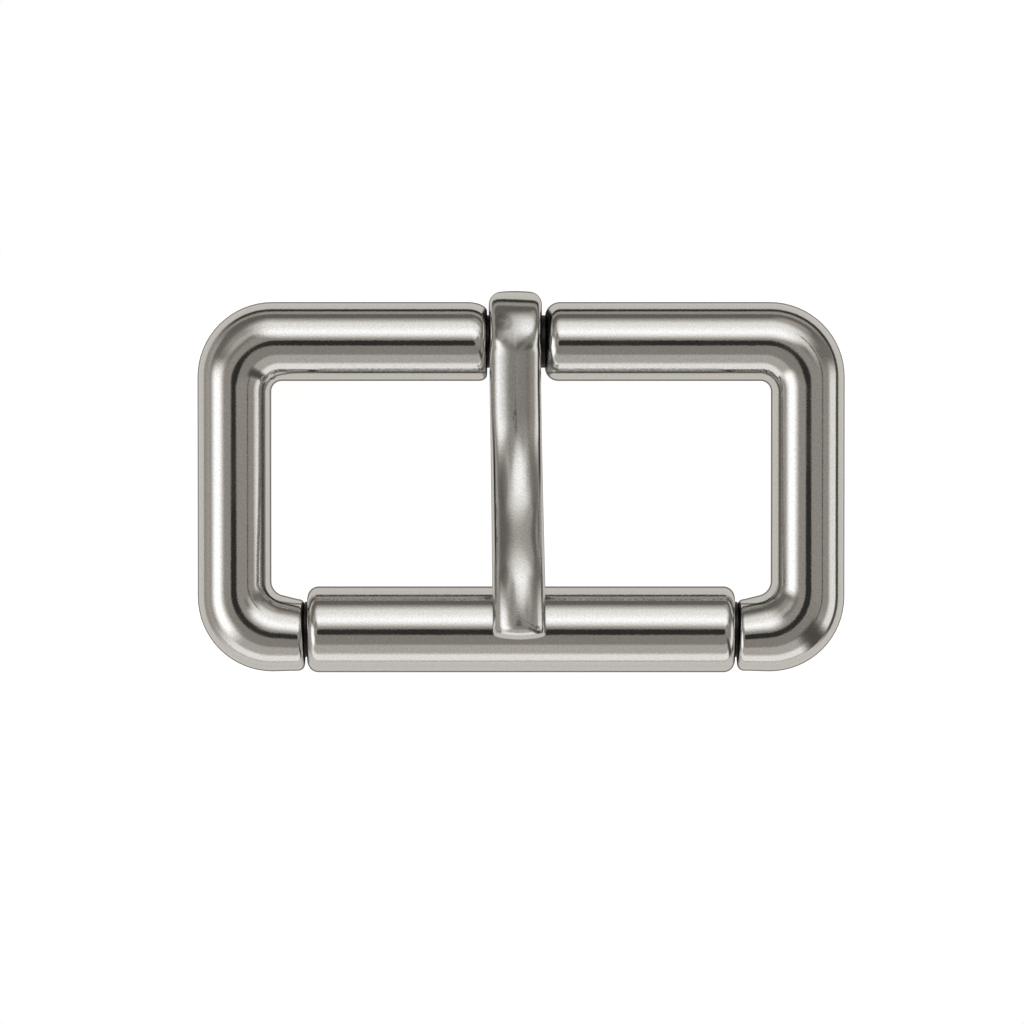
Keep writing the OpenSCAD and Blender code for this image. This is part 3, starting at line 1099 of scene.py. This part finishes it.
# %% Lights and cards of the studio
BASE_LIGHT = 0.40
ALL_ROUND = 180
COLUMNS = ("azimuth", "spread", "edge", "start", "rise", "end", "fall", "light")
STUDIO = {
    "front card": (270, 60, 50, 8, 8, 42, 8, 0.33),
    "front wall": (270, 55, 40, 41, 6, 68, 8, 0.60),
    "left back card": (138, 30, 25, 24, 12, 96, 4, 0.21),
    "left back glow": (133, 22, 25, 40, 16, 58, 16, 0.44),
    "left back high glow": (135, 22, 25, 30, 10, 44, 10, 0.60),
    "right back card": (38, 24, 20, 24, 12, 94, 4, 0.24),
    "right back high glow": (38, 20, 25, 32, 12, 48, 8, 0.74),
    "back softbox": (77, 31, 46, 11, 15, 60, 22, 1.20),
    "back softbox middle": (77, 31, 46, 20, 14, 36, 26, 1.60),
    "left softbox": (198, 26, 24, 38, 22, 69, 22, 1.68),
    "back skirting": (90, 50, 30, 70, 8, 86, 3, 0.18),
    "back slit": (90, 50, 30, 87, 3, 94, 3, 0.47),
    "right back glow": (62, 14, 20, 63, 8, 75, 8, 0.50),
    "left skirting": (185, 40, 25, 80, 6, 95, 4, 0.50),
    "front table light": (270, 50, 30, 68, 10, 92, 2, 1.18),
    "front seam": (270, 50, 30, 91, 2, 96, 2, 0.70),
    "right table light": (337, 30, 22, 69, 14, 95, 4, 1.15),
    "right seam": (0, 45, 20, 43, 2, 46, 2, 0.10),
    "left table edge": (180, 45, 20, 97, 3, 107, 3, 0.44),
    "right table edge": (0, 45, 20, 96, 3, 108, 3, 0.10),
    "back seam": (84, 50, 40, 97, 2, 108, 2, 0.05),
    "front table edge": (270, 50, 30, 96, 2, 112, 4, 0.84),
    "front right card": (317, 9, 14, 36, 12, 98, 3, 0.11),
    "table": (0, ALL_ROUND, 0, 109, 3, 200, 1, 0.80),
    "own shadow": (0, ALL_ROUND, 0, 150, 16, 200, 1, 0.20),
}
OVERHEAD_MIDDLE = (0.0, -6.0)
OVERHEAD_HALF = (9.5, 8.0)
OVERHEAD_EDGE = (0.82, 1.18)
OVERHEAD_LIGHT = 0.04
DIM_COLOUR = (1.0, 0.94, 0.85, 1.0)
DIM_LIGHT = 0.4
BRIGHT_LIGHT = 1.5
BACKDROP_LIGHT = 0.97

# %% Turn directions into lights
# The panels are broad and soft, so the rays that leave the metal find them without being aimed at them.
world = bpy.data.worlds.new("studio")
bpy.context.scene.world = world
world.use_nodes = True
world.cycles.sampling_method = "NONE"
sky = world.node_tree
direction = coordinate(sky, "Generated")
from_top = product(sky, math_node(sky, "ARCCOSINE", axes(sky, direction)["Z"]), math.degrees(1))
level = vector_node(sky, "NORMALIZE", vector_node(sky, "MULTIPLY", direction, (1, 1, 0)))


def panel_mask(panel):
    half_rise = panel["rise"] / 2
    half_fall = panel["fall"] / 2
    after = ramp(sky, from_top, panel["start"] - half_rise, panel["start"] + half_rise)
    before = ramp(sky, from_top, panel["end"] - half_fall, panel["end"] + half_fall, 1, 0)
    mask = product(sky, after, before)
    if panel["spread"] < ALL_ROUND:
        azimuth = math.radians(panel["azimuth"])
        faces = vector_node(sky, "DOT_PRODUCT", level, (math.cos(azimuth), math.sin(azimuth), 0))
        rim = math.cos(math.radians(panel["spread"] + panel["edge"] / 2))
        full = math.cos(math.radians(panel["spread"] - panel["edge"] / 2))
        mask = product(sky, mask, ramp(sky, faces, rim, full))
    return mask


light = BASE_LIGHT
for row in STUDIO.values():
    panel = dict(zip(COLUMNS, row))
    light = mixed(sky, panel_mask(panel), light, panel["light"])

# %% Hang the dark card overhead and show the backdrop to the camera alone
flat_chart = vector_node(sky, "SCALE", level, scale=from_top)
offset = vector_node(sky, "SUBTRACT", flat_chart, (*OVERHEAD_MIDDLE, 0))
squeezed = vector_node(sky, "DIVIDE", offset, (*OVERHEAD_HALF, 1))
card = ramp(sky, vector_node(sky, "LENGTH", squeezed), *OVERHEAD_EDGE, 1, 0)
light = mixed(sky, card, light, OVERHEAD_LIGHT)
seen = sky.nodes.new("ShaderNodeLightPath").outputs["Is Camera Ray"]
light = mixed(sky, seen, light, BACKDROP_LIGHT)
sky.links.new(light, sky.nodes["Background"].inputs["Strength"])
hue = sky.nodes.new("ShaderNodeMix")
hue.data_type = "RGBA"
sky.links.new(ramp(sky, light, DIM_LIGHT, BRIGHT_LIGHT, smooth=False), hue.inputs["Factor"])
hue.inputs["A"].default_value = DIM_COLOUR
hue.inputs["B"].default_value = (1, 1, 1, 1)
sky.links.new(hue.outputs["Result"], sky.nodes["Background"].inputs["Color"])
print("studio with", len(STUDIO), "panels and", len(sky.nodes), "nodes")

# %% [markdown]
# ## The table
# The table is a lit white sheet, as under a product photograph, so that the buckle's shadow almost drowns.
# Near the buckle it glows by itself and takes a little light as well, which leaves a faint shadow where the
# metal touches it. Further out only an even white glow is left. The metal mirrors the studio's own table
# panel instead of this sheet, so the sheet is hidden from reflections.

# %% Lay out the table
TABLE_M = 3.0
TABLE_GLOW = 0.86
TABLE_COLOUR = (0.5, 0.5, 0.5, 1)
SHADOW_M = 0.032
SHADOW_EDGE_M = 0.012

sheet_mesh = bpy.data.meshes.new("table")
corners = [(x * TABLE_M, y * TABLE_M, 0) for x, y in ((-1, -1), (1, -1), (1, 1), (-1, 1))]
sheet_mesh.from_pydata(corners, [], [(0, 1, 2, 3)])
paper = bpy.data.materials.new("lit white sheet")
paper.use_nodes = True
paper_shader = paper.node_tree.nodes["Principled BSDF"]
paper_shader.inputs["Base Color"].default_value = TABLE_COLOUR
paper_shader.inputs["Roughness"].default_value = 1.0
paper_shader.inputs["Specular IOR Level"].default_value = 0.0
paper_shader.inputs["Emission Color"].default_value = (1, 1, 1, 1)
paper_shader.inputs["Emission Strength"].default_value = TABLE_GLOW
sheet_mesh.materials.append(paper)
paper_tree = paper.node_tree
glow = paper_tree.nodes.new("ShaderNodeEmission")
choose = paper_tree.nodes.new("ShaderNodeMixShader")
from_middle = vector_node(paper_tree, "LENGTH", coordinate(paper_tree, "Object"))
past_shadow = ramp(paper_tree, from_middle, SHADOW_M, SHADOW_M + SHADOW_EDGE_M)
paper_tree.links.new(past_shadow, choose.inputs["Fac"])
paper_tree.links.new(paper_shader.outputs[0], choose.inputs[1])
paper_tree.links.new(glow.outputs[0], choose.inputs[2])
paper_tree.links.new(choose.outputs[0], paper_tree.nodes["Material Output"].inputs["Surface"])
table = bpy.data.objects.new("table", sheet_mesh)
table.visible_glossy = False
bpy.context.scene.collection.objects.link(table)
table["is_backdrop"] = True

# %% Print the CAD and visual sizes
visual_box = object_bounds()
sizes = {"cad": [list(corner) for corner in cad_box], "visual": [list(corner) for corner in visual_box]}
for name, corners in sizes.items():
    print(name, [[round(value * 1000, 3) for value in corner] for corner in corners])
